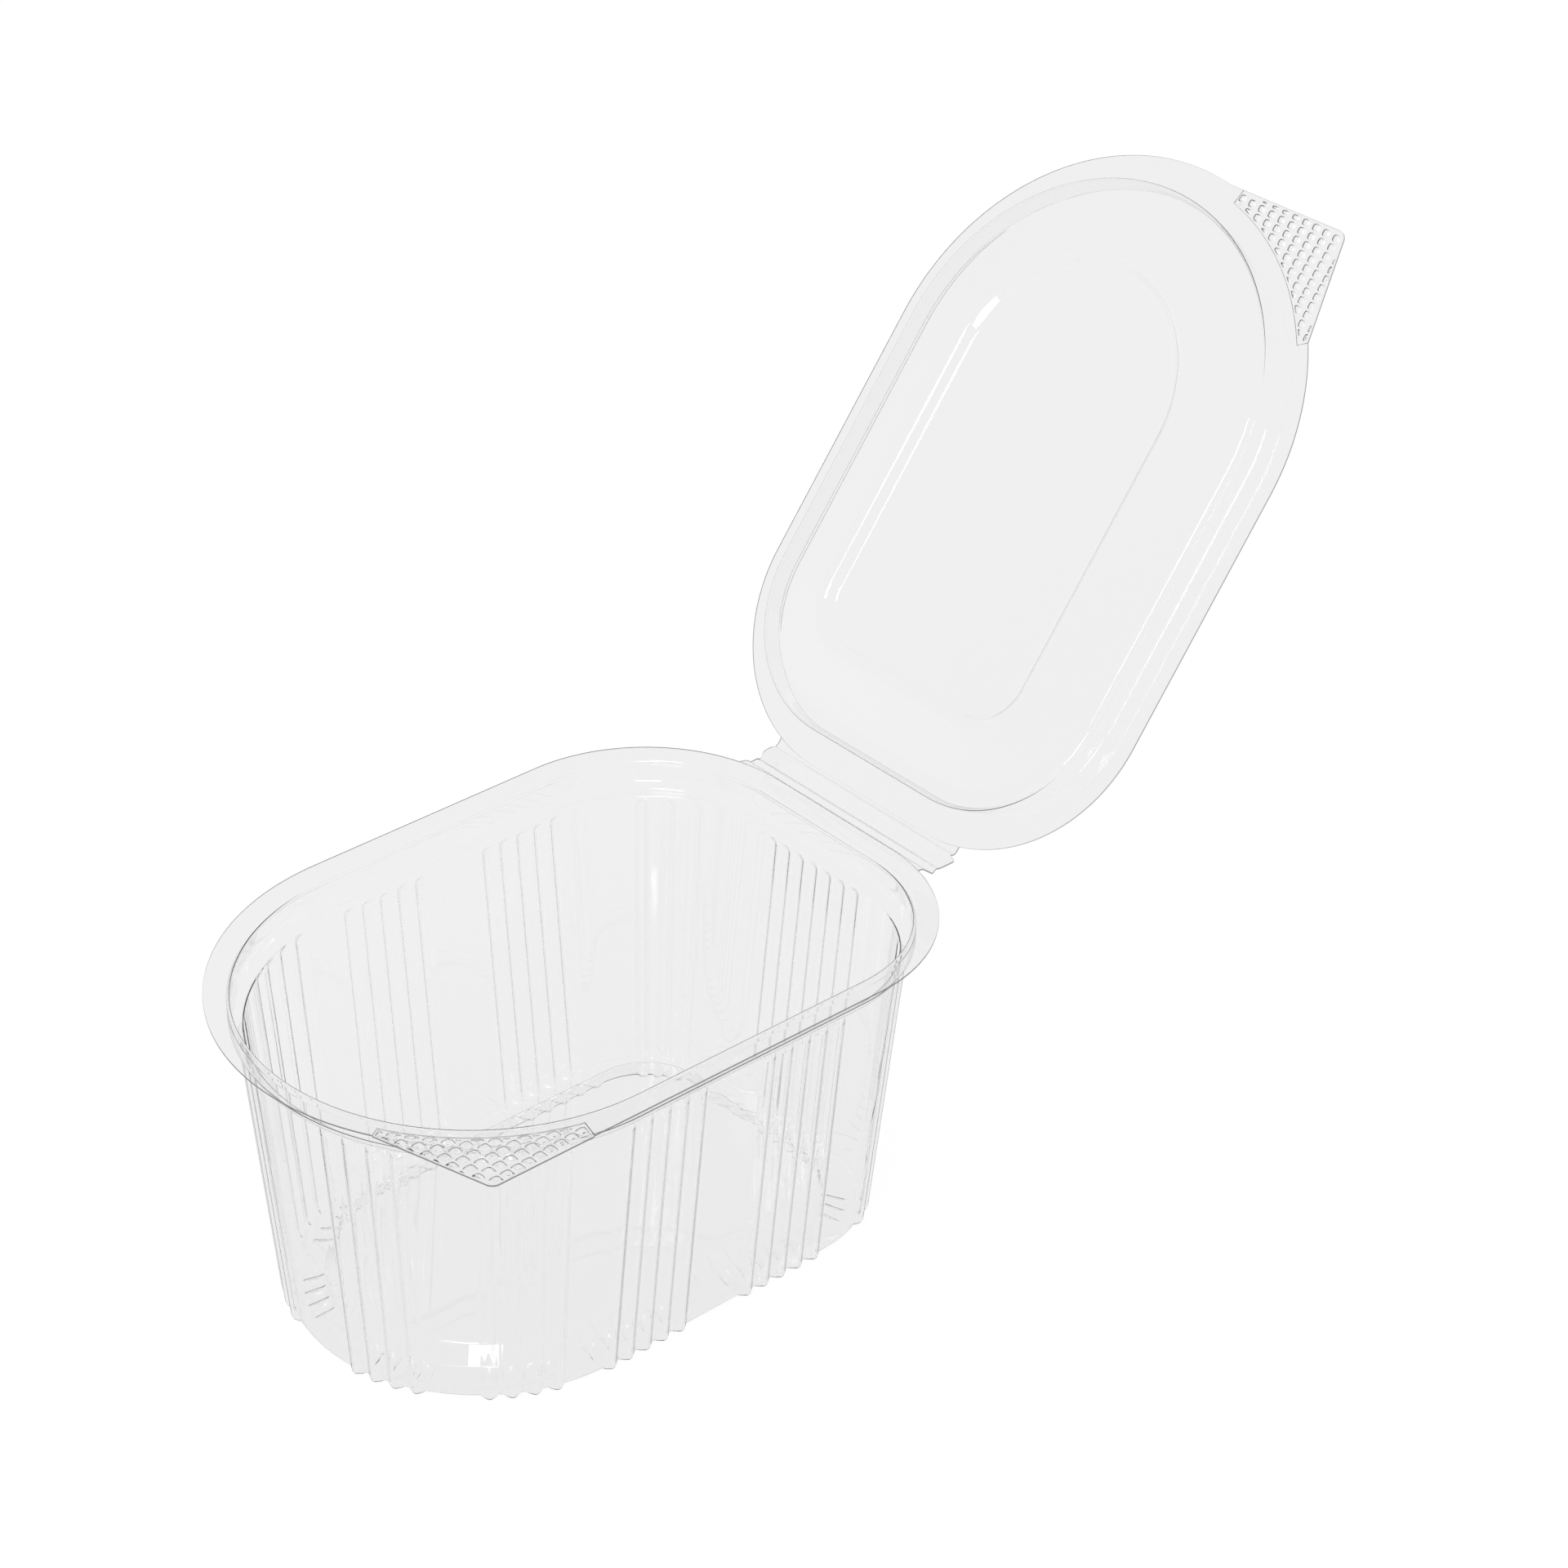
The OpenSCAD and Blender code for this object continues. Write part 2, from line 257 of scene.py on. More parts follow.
@dataclass(frozen=True)
class Flutes:
    """Round ribs pressed outwards in the wall, in groups.

    The whole pattern is moved by shift round the tub, clockwise from above."""

    half_width: float = 1.42
    out: float = 0.85
    pitch: float = 3.55
    back_pitch: float = 3.3
    shift: float = 1.4
    foot_in: float = 10.4
    top_z: float = 50.1
    top_run: float = 1.6
    end_in: float = 16.8
    end_run: float = 1.1
    side_front_run: float = 8.2
    side_rear_run: float = 8.9
    side_count: int = 5
    front_angles: tuple[float, ...] = (25.0, 65.0, 115.0, 155.0)
    front_count: int = 4
    corner_count: int = 3
    back_count: int = 7
    column_step: float = 1.6
    column_clear: float = 3.0
    column_inset: float = 8.5
    half_columns: tuple[float, ...] = (0.33, 0.65, 0.95, 1.2, 1.4, 1.58)

    def centres(self, line: Outline) -> np.ndarray:
        """Runs of all flutes' middle lines along the outline.

        Straight stretches hold them a pitch apart, and arcs at the angle that a pitch takes
        at the foot. The shift grows by the same ratio on an arc.

        Args:
            line: the outline.

        Returns:
            Runs in mm, shape (n,).
        """
        ends = np.concatenate([[0.0], np.cumsum(line.lengths)])
        total = ends[-1]
        on_front = line.half_w / (line.half_w - self.foot_in)
        on_corner = line.corner_r / (line.corner_r - self.foot_in)
        corner_middle = (ends[1] + ends[2]) / 2
        groups = [(0.0, self.back_count, self.back_pitch, 1.0)]
        for place in (ends[2] + self.side_rear_run, ends[3] - self.side_front_run):
            groups.append((place, self.side_count, self.pitch, 1.0))
            groups.append((total - place, self.side_count, self.pitch, 1.0))
        for angle in self.front_angles:
            place = ends[3] + math.radians(angle) * line.half_w
            groups.append((place, self.front_count, self.pitch, on_front))
        for place in (corner_middle, total - corner_middle):
            groups.append((place, self.corner_count, self.pitch, on_corner))
        runs = [
            place + ((np.arange(count) - (count - 1) / 2) * pitch + self.shift) * stretch
            for place, count, pitch, stretch in groups
        ]
        return np.mod(np.concatenate(runs), total)

    def stations(self, line: Outline) -> np.ndarray:
        """Runs of a grid's columns: close together over each flute, wider between groups.

        Args:
            line: the outline.

        Returns:
            Sorted runs in mm, shape (columns,).
        """
        total = float(line.lengths.sum())
        centres = self.centres(line)
        _, _, radius = line.at(centres)
        stretch = np.where(radius > 0, radius / np.maximum(radius - self.column_inset, 1), 1.0)
        half = np.array(self.half_columns)
        places = np.concatenate([-half[::-1], [0.0], half])
        dense = (centres[:, None] + places[None] * stretch[:, None]).ravel()
        loose = np.arange(0.0, total, self.column_step)
        gap = np.abs(loose[:, None] - centres[None])
        gap = np.minimum(gap, total - gap).min(1)
        return np.sort(np.mod(np.concatenate([dense, loose[gap > self.column_clear]]), total))

    def height(self, run: np.ndarray, line: Outline, profile: np.ndarray) -> np.ndarray:
        """How far the sheet stands out of the smooth wall.

        Across a flute the height is out * (1 - (u / half width)^2)^1.5, where u is the plan
        distance from its middle line. The power leaves a soft fillet where it meets the
        wall. Near either end it is multiplied by a half cosine wave that falls from 1 to 0.

        Args:
            run: columns' runs along the outline, shape (c,).
            line: the outline.
            profile: rows' insets and heights, shape (r, 2).

        Returns:
            Displacements in mm, shape (r, c).
        """
        total = float(line.lengths.sum())
        centres = self.centres(line)
        away = (run[:, None] - centres[None] + total / 2) % total - total / 2
        nearest = centres[np.abs(away).argmin(1)]
        point, normal, _ = line.at(run)
        middle, facing, _ = line.at(nearest)
        inset = profile[:, 0, None, None]
        across = (point - middle)[None] - inset * (normal - facing)[None]
        u = np.linalg.norm(across, axis=2)
        round_side = np.clip(1 - (u / self.half_width) ** 2, 0, 1) ** 1.5
        up = np.clip((profile[:, 1] - self.top_z) / self.top_run + 1, 0, 1)
        past = np.clip((profile[:, 0] - self.end_in) / self.end_run + 1, 0, 1)
        fade = (1 + np.cos(math.pi * np.maximum(up, past))) / 2
        return self.out * round_side * fade[:, None]


def grid_normals(grid: np.ndarray) -> np.ndarray:
    """Unit normals of a grid that closes on itself across its columns.

    The normal is the cross product of the central differences along rows and columns.

    Args:
        grid: points, shape (rows, columns, 3).

    Returns:
        Normals of the same shape.
    """
    across = np.roll(grid, -1, 1) - np.roll(grid, 1, 1)
    down = np.gradient(grid, axis=0)
    normal = np.cross(across, down)
    return normal / np.maximum(np.linalg.norm(normal, axis=2, keepdims=True), 1e-12)


def signed_volume(points: np.ndarray, quads: np.ndarray) -> float:
    """Volume inside a closed mesh of quads: a sixth of the sum of its triangles' products.

    Args:
        points: shape (n, 3).
        quads: vertex numbers, shape (m, 4).

    Returns:
        The volume, below zero where the faces look inwards.
    """
    total = 0.0
    for a, b, c in ((0, 1, 2), (0, 2, 3)):
        p, q, r = (points[quads[:, i]] for i in (a, b, c))
        total += float(np.einsum("ij,ij->i", p, np.cross(q, r)).sum()) / 6
    return total


def make_mesh(
    name: str, points: np.ndarray, faces: list[list[int]], smooth: bool = True
) -> bpy.types.Object:
    """Puts points in mm and faces into a new object at the origin.

    Args:
        name: the piece's name.
        points: shape (n, 3), in the row frame.
        faces: vertex numbers of each face.
        smooth: whether the faces are shaded smooth, except over edges past SHARP_ANGLE degrees.

    Returns:
        The new object, linked to the scene.
    """
    mesh = bpy.data.meshes.new(name)
    mesh.from_pydata((points * MM).tolist(), [], faces)
    mesh.polygons.foreach_set("use_smooth", np.full(len(mesh.polygons), smooth))
    mesh.update()
    mesh.validate()
    if smooth:
        mesh.set_sharp_from_angle(angle=math.radians(SHARP_ANGLE))
    obj = bpy.data.objects.new(name, mesh)
    bpy.context.scene.collection.objects.link(obj)
    return obj


def closed_sheet(
    name: str, outside: np.ndarray, inside: np.ndarray, edge: np.ndarray, joined: np.ndarray
) -> bpy.types.Object:
    """A thin sheet with both faces, its rim and its two flat middles.

    The rows run from the middle of the outside face out to the rim, over it, and back to the
    middle of the inside face. Quads join neighbouring rows, and one flat face closes each end.

    Args:
        name: the piece's name.
        outside: the outside face's grid, rim first, shape (rows, columns, 3).
        inside: the inside face's grid, the same way.
        edge: one row of points on the rim's edge, shape (columns, 3).
        joined: columns whose edge meets a tab or the hinge strip, shape (columns,).

    Returns:
        The closed object.
    """
    rows = np.concatenate([outside[::-1], edge[None], inside])
    count, cols = rows.shape[:2]
    points = rows.reshape(-1, 3)
    r, c = np.meshgrid(np.arange(count - 1), np.arange(cols), indexing="ij")
    right = (c + 1) % cols
    corners = [r * cols + c, r * cols + right, (r + 1) * cols + right, (r + 1) * cols + c]
    quads = np.stack(corners, -1).reshape(-1, 4)
    first = np.arange(cols)[::-1]
    last = (count - 1) * cols + np.arange(cols)
    if signed_volume(points, quads) < 0:
        quads, first, last = quads[:, ::-1], first[::-1], last[::-1]
    sheet = make_mesh(name, points, quads.tolist() + [first.tolist(), last.tolist()])
    index = np.zeros(len(quads) + 2, dtype=np.int32)
    start, stop = (len(outside) - 1) * cols, (len(outside) + 1) * cols
    index[start:stop] = np.tile(np.where(joined, Finish.JOINT.value, Finish.CUT.value), 2)
    sheet.data.polygons.foreach_set("material_index", index)
    return sheet


@dataclass(frozen=True)
class HingeLine:
    """Where the lid turns, and how far it stands open."""

    y: float = 22.228
    z: float = 54.62
    opening: float = 127.6

    def opened(self, points: np.ndarray) -> np.ndarray:
        """Turns shut-lid points in mm about the hinge line to the lid's place at rest.

        y' = y cos a + z sin a and z' = z cos a - y sin a, from the hinge line.

        Args:
            points: shape (..., 3).

        Returns:
            Turned points of the same shape.
        """
        a = math.radians(self.opening)
        y, z = points[..., 1] - self.y, points[..., 2] - self.z
        turned = np.empty_like(points)
        turned[..., 0] = points[..., 0]
        turned[..., 1] = self.y + y * math.cos(a) + z * math.sin(a)
        turned[..., 2] = self.z + z * math.cos(a) - y * math.sin(a)
        return turned


@dataclass(frozen=True)
class GripPattern:
    """Small blunt pyramids on a lattice, inside a sunk field with a bevelled border.

    across and along are the lattice's two steps in mm, in plan. A height below zero presses the
    pyramids down, as on the lid, whose underside shows when it stands open."""

    across: tuple[float, float]
    along: tuple[float, float]
    size: float = 1.95
    ramp: float = 0.45
    height: float = 0.27
    sink: float = 0.06
    bevel: float = 0.35
    border_ramp: float = 0.2

    def relief(self, plan: np.ndarray, margin: np.ndarray) -> np.ndarray:
        """Height of the embossed face over the flat flange.

        Lattice shares are the plan point times the inverse of the two steps. Inside a cell the
        distance from the middle is the fourth root of x^4 + y^4, which draws a square with
        round corners. The height rises from nothing at half the size to full a ramp further
        in, eased as 3 s^2 - 2 s^3, and near the field's border all of it ramps to the flange.

        Args:
            plan: points, shape (..., 2).
            margin: distance to the field's border, shape (...).

        Returns:
            Heights in mm, shape (...).
        """
        steps = np.array([self.across, self.along])
        share = plan @ np.linalg.inv(steps)
        local = (share - np.round(share)) @ steps
        side = (local**4).sum(-1) ** 0.25
        rise = np.clip((self.size / 2 - side) / self.ramp, 0, 1)
        bump = self.height * rise**2 * (3 - 2 * rise)
        inside = np.clip(margin / self.bevel, 0, 1)
        room = np.clip((margin - self.bevel) / self.border_ramp, 0, 1)
        return bump * room - self.sink * inside


@dataclass(frozen=True)
class GripField:
    """Where a tab's embossed field lies: headings from the front in degrees and inner radius."""

    first: float
    last: float
    inner: float = 40.0

    def holds(self, normal: np.ndarray) -> np.ndarray:
        """Whether each outward normal's heading from the front lies inside the field."""
        heading = np.degrees(np.arctan2(normal[:, 0], -normal[:, 1]))
        return (heading >= self.first) & (heading <= self.last)


@dataclass(frozen=True)
class Sheet:
    """The sheet both halves are pressed from."""

    thickness: float = 0.28
    edge_bulge: float = 0.03


@dataclass(frozen=True)
class GripTab:
    """The embossed tab as a slab of its own, from the flange's inner part out to its edge."""

    plan: TabPlan
    field_: GripField
    pattern: GripPattern
    step: float = 0.15
    joint: float = 0.03
    mean_reach: float = 3.0
    edge_slant: float = 0.9

    def build(
        self, name: str, line: Outline, sheet: Sheet, level: float, hinge: HingeLine | None = None
    ) -> bpy.types.Object:
        """The slab, from a grid in polar places round the front's centre.

        A point is the centre plus (inner + share * (outer - inner)) times the heading's unit
        vector; outer is the flange's radius plus the tab's reach along that heading.

        Args:
            name: the piece's name.
            line: the flange's outline.
            sheet: the sheet.
            level: height of the flange's lower face.
            hinge: the hinge line that turns it open, for the lid's tab.

        Returns:
            The new object.
        """
        field_ = self.field_
        arc = math.radians(field_.last - field_.first) * (line.half_w + self.mean_reach)
        heading = np.radians(np.linspace(field_.first, field_.last, int(arc / self.step)))
        normal = np.stack([np.sin(heading), -np.cos(heading)], 1)
        inner = field_.inner + self.joint
        outer = line.half_w + self.plan.reach(normal, line.half_w)
        rows = int((outer.max() - inner) / self.step)
        share = np.linspace(0, 1, rows)[:, None]
        radius = inner + share * (outer[None] - inner)
        plan = radius[..., None] * normal[None]
        ends = radius * np.minimum(heading - heading[0], heading[-1] - heading)[None]
        past = (outer[None] - radius) * self.edge_slant
        margin = np.minimum(np.minimum(radius - inner, past), ends)
        relief = self.pattern.relief(plan, margin)
        world = plan + np.array([0.0, line.arc_y])
        low = np.concatenate([world, (level + relief)[..., None]], 2)
        high = np.concatenate([world, (level + sheet.thickness + relief)[..., None]], 2)
        if hinge is not None:
            low, high = hinge.opened(low), hinge.opened(high)
        return slab(name, low, high, (Finish.CUT, Finish.JOINT))


def slab(
    name: str, low: np.ndarray, high: np.ndarray, borders: tuple[Finish, Finish]
) -> bpy.types.Object:
    """Closes two open grids of the same shape into one solid.

    The top is the high grid, the underside the low grid turned over, and each border is a
    strip of quads between them: first row, last column, last row, first column.

    Args:
        name: the piece's name.
        low: lower grid, shape (rows, columns, 3).
        high: upper grid, the same shape.
        borders: finish of the last row, and of the first and last column.

    Returns:
        The new object; its first row is a joint.
    """
    rows, cols = low.shape[:2]
    points = np.concatenate([high.reshape(-1, 3), low.reshape(-1, 3)])
    number = np.arange(rows * cols).reshape(rows, cols)
    corners = [number[:-1, :-1], number[:-1, 1:], number[1:, 1:], number[1:, :-1]]
    top = np.stack(corners, -1).reshape(-1, 4)
    under = top[:, ::-1] + rows * cols
    border = np.concatenate([number[0], number[1:, -1], number[-1, -2::-1], number[-2:0:-1, 0]])
    after = np.roll(border, -1)
    sides = np.stack([after, border, border + rows * cols, after + rows * cols], 1)
    quads = np.concatenate([top, under, sides])
    if signed_volume(points, quads) < 0:
        quads = quads[:, ::-1]
    obj = make_mesh(name, points, quads.tolist())
    row, column = borders[0].value, borders[1].value
    counts = [len(top) * 2, cols - 1, rows - 1, cols - 1, rows - 1]
    index = np.repeat([Finish.SHEET.value, Finish.JOINT.value, column, row, column], counts)
    obj.data.polygons.foreach_set("material_index", index.astype(np.int32))
    return obj


@dataclass(frozen=True)
class ShellGrids:
    """The rows and columns a shell is made of, shape (rows, columns, 3) and (columns, 3)."""

    outside: np.ndarray
    inside: np.ndarray
    edge: np.ndarray
    joined: np.ndarray


@dataclass
class PressedShell:
    """A pressed sheet: a profile carried round the outline, with a tab and maybe flutes."""

    line: Outline
    sheet: Sheet
    corners: list[Fillet]
    tab: GripTab
    columns: np.ndarray
    strip_half: float = 21.0
    tab_fade: float = 3.0

    def swept(self) -> tuple[np.ndarray, np.ndarray, np.ndarray]:
        """Outside face before any flutes: outline point minus inset times outward normal.

        Near the edge the row is moved by the tab's reach, fading to nothing at the bend.

        Returns:
            The grid (rows, columns, 3), the profile (rows, 2) and the outward normals.
        """
        profile = rounded_profile(self.corners)
        point, normal, radius = self.line.at(self.columns)
        on_front = (radius > 0) & (point[:, 1] < self.line.arc_y)
        reach = np.where(on_front, self.tab.plan.reach(normal, self.line.half_w), 0.0)
        cut = self.tab.field_.inner - self.line.half_w
        reach = np.where(on_front & self.tab.field_.holds(normal), cut, reach)
        share = np.clip(profile[:, 0] / self.tab_fade, 0, 1)
        inset = profile[:, :1] - (1 - share)[:, None] * reach[None]
        grid = np.empty((len(profile), len(self.columns), 3))
        grid[..., :2] = point[None] - inset[..., None] * normal[None]
        grid[..., 2] = profile[:, 1:]
        return grid, profile, normal

    def thicken(self, outside: np.ndarray, normal: np.ndarray) -> ShellGrids:
        """Adds the inside face, a sheet's thickness along the grid's normals, and the edge.

        Args:
            outside: the outside face's grid.
            normal: outward normals of the outline in plan.

        Returns:
            Both faces and the edge row.
        """
        face = grid_normals(outside)
        if face[0, :, 2].mean() < 0:
            face = -face
        inside = outside + self.sheet.thickness * face
        bulge = np.concatenate([normal * self.sheet.edge_bulge, np.zeros((len(normal), 1))], 1)
        point, _, radius = self.line.at(self.columns)
        on_front = (radius > 0) & (point[:, 1] < self.line.arc_y)
        on_strip = (point[:, 1] > self.line.corner_y) & (np.abs(point[:, 0]) < self.strip_half)
        joined = on_strip | (on_front & self.tab.field_.holds(normal))
        return ShellGrids(outside, inside, (outside[0] + inside[0]) / 2 + bulge, joined)


def with_tab(
    columns: np.ndarray, line: Outline, tab: GripTab, apart: float = 0.04, clear: float = 0.2
) -> np.ndarray:
    """Columns with a close pair at each end of a tab's field, so that the flange steps there.

    Args:
        columns: runs along the outline.
        line: the outline.
        tab: the tab.
        apart: distance of a pair's columns from the field's end.
        clear: distance within which other columns are dropped.

    Returns:
        The runs with those pairs, sorted.
    """
    arc_start = float(line.lengths[:3].sum())
    ends = np.radians(90 - np.array([tab.field_.first, tab.field_.last])) * line.half_w
    pairs = (arc_start + ends)[:, None] + np.array([[-apart, apart]])
    kept = np.abs(columns[:, None] - (arc_start + ends)[None]).min(1) > clear
    return np.sort(np.concatenate([columns[kept], pairs.ravel()]))


@dataclass(frozen=True)
class ClearSheet:
    """Clear pressed plastic sheet: its tint face on, painted shade edge on, gloss and refraction.

    The grey deepens while the layer weight goes from edge_from to edge_full. That deeper grey
    is painted shade for the dark lines that refracted and reflected dark surroundings draw
    where the sheet turns edge on, beyond the little that the longer path through it absorbs."""

    name: str
    face_tint: float = 0.985
    painted_edge_shade: float = 0.5
    edge_from: float = 0.75
    edge_full: float = 1.0
    blend: float = 0.5
    roughness: float = 0.02
    ior: float = 1.5

    def build(self) -> bpy.types.Material:
        """Makes the material: glass whose grey deepens, as painted shade, where the sheet is seen
        edge on.

        Returns:
            The material.
        """
        mat = bpy.data.materials.new(self.name)
        mat.use_nodes = True
        tree = mat.node_tree
        shader = tree.nodes["Principled BSDF"]
        shader.inputs["Transmission Weight"].default_value = 1.0
        shader.inputs["Roughness"].default_value = self.roughness
        shader.inputs["IOR"].default_value = self.ior
        weight = tree.nodes.new("ShaderNodeLayerWeight")
        weight.inputs["Blend"].default_value = self.blend
        ramp = tree.nodes.new("ShaderNodeValToRGB")
        # the edge end of the ramp is painted shade, not the plastic's own tint
        ends = ((self.edge_from, self.face_tint), (self.edge_full, self.painted_edge_shade))
        for element, (place, tint) in zip(ramp.color_ramp.elements, ends):
            element.position = place
            element.color = (tint, tint, tint, 1)
        tree.links.new(weight.outputs["Facing"], ramp.inputs["Fac"])
        tree.links.new(ramp.outputs["Color"], shader.inputs["Base Color"])
        return mat


@dataclass(frozen=True)
class CutEdge:
    """The sheet's edge face, matt from the knife: its grey and roughness.

    A dark grey is painted shade, for the dark line that a clear edge shows by refraction.
    """

    name: str
    tone: float
    roughness: float = 0.6

    def build(self) -> bpy.types.Material:
        """Makes the material.

        Returns:
            The material.
        """
        mat = bpy.data.materials.new(self.name)
        mat.use_nodes = True
        shader = mat.node_tree.nodes["Principled BSDF"]
        shader.inputs["Base Color"].default_value = (self.tone, self.tone, self.tone, 1)
        shader.inputs["Roughness"].default_value = self.roughness
        return mat


@dataclass
class Tub:
    """The tub's shell: flange, snap groove, ledge, fluted wall, foot, ring and raised floor."""

    line: Outline
    sheet: Sheet
    flutes: Flutes
    tab: GripTab
    rim_h: float = RIM_H
    ledge_drop: float = 6.1
    ledge_in: float = 5.65
    foot_in: float = 10.45
    band_in: float = 12.8
    ring_in: float = 16.6
    ring_h: float = 1.1
    floor_h: float = 4.9
    corners: list[Fillet] = field(default_factory=list)

    def __post_init__(self) -> None:
        """Sets the profile from the rim's height."""
        top = self.rim_h
        under = top - self.sheet.thickness
        self.corners = [
            Fillet(0, under),
            Fillet(0.05, under),
            Fillet(3.0, under),
            Fillet(3.85, under, 0.7, 6),
            Fillet(3.5, top - 1.6, 0.5, 3),
            Fillet(3.5, top - 4.2, 0.8, 3),
            Fillet(4.35, top - 5.72, 0.8, 4),
            Fillet(self.ledge_in, top - self.ledge_drop, 0.5, 4),
            *[Fillet(self.wall_inset(z), z) for z in self.wall_rows()],
            Fillet(self.foot_in, 0, 1.5, 7),
            Fillet(self.band_in, 0, 1.0, 3),
            *[Fillet(inset, self.ring_z(inset)) for inset in (13.7, 14.5, 15.3, 16.1)],
            Fillet(self.ring_in, self.ring_h, 1.1, 6),
            Fillet(18.1, self.floor_h, 1.7, 8),
            Fillet(19.6, self.floor_h),
            Fillet(19.7, self.floor_h),
        ]

    def ring_z(self, inset: float) -> float:
        """Height of the rising ring inside the foot band."""
        return self.ring_h * (inset - self.band_in) / (self.ring_in - self.band_in)

    def wall_rows(self) -> list[float]:
        """Heights of the rows up the wall: close together at the flutes' tops."""
        top = self.flutes.top_z
        return [top - d for d in (0.1, 0.4, 0.8, 1.2, 1.6)] + [40.0, 27.0, 14.0, 5.0, 2.2]

    def wall_inset(self, z: float) -> float:
        """Inset of the straight wall at a height."""
        ledge = self.rim_h - self.ledge_drop
        return self.ledge_in + (ledge - z) / ledge * (self.foot_in - self.ledge_in)

    def grids(self) -> ShellGrids:
        """The shell's faces, with flutes up the wall that turn under the foot as teeth.

        The smooth face is moved along its own normal by the flutes' height, and nothing may
        sink under the surface that the tub stands on.

        Returns:
            Both faces and the edge row, in mm.
        """
        columns = with_tab(self.flutes.stations(self.line), self.line, self.tab)
        shell = PressedShell(self.line, self.sheet, self.corners, self.tab, columns)
        smooth, profile, normal = shell.swept()
        height = self.flutes.height(shell.columns, self.line, profile)
        face = grid_normals(smooth)
        if face[0, :, 2].mean() < 0:
            face = -face
        outside = smooth - height[..., None] * face
        outside[..., 2] = np.maximum(outside[..., 2], 0.0)
        return shell.thicken(outside, normal)


@dataclass
class Lid:
    """The lid's shell, shut: flange, plug, crowned panel and sunk oval."""

    line: Outline
    sheet: Sheet
    tab: GripTab
    hinge: HingeLine
    level: float = LID_LEVEL
    column_step: float = 0.85

    def corners(self) -> list[Fillet]:
        """The underside's profile, shut.

        Returns:
            Its corners from the flange's edge inwards.
        """
        z = self.level
        return [
            Fillet(0, z),
            Fillet(0.05, z),
            Fillet(3.0, z),
            Fillet(5.9, z, 0.5, 6),
            Fillet(5.2, z - 5.287, 1.1, 9),
            Fillet(8.6, z - 4.4, 1.0, 4),
            Fillet(13.8, z - 5.9),
            Fillet(19.0, z - 7.4, 2.0, 9),
            Fillet(20.9, z - 5.4, 2.0, 9),
            Fillet(22.4, z - 5.4),
            Fillet(22.5, z - 5.4),
        ]

    def grids(self) -> ShellGrids:
        """The shell's faces with the lid standing open.

        Returns:
            Both faces and the edge row, in mm.
        """
        even = np.arange(0.0, float(self.line.lengths.sum()), self.column_step)
        columns = with_tab(even, self.line, self.tab)
        shell = PressedShell(self.line, self.sheet, self.corners(), self.tab, columns)
        smooth, _, normal = shell.swept()
        shut = shell.thicken(smooth, normal)
        turned = (self.hinge.opened(g) for g in (shut.outside, shut.inside, shut.edge))
        return ShellGrids(*turned, shut.joined)


@dataclass(frozen=True)
class Ridge:
    """A pressed line along the strip: its run across the strip, half width and height in mm."""

    at: float
    half_width: float
    height: float


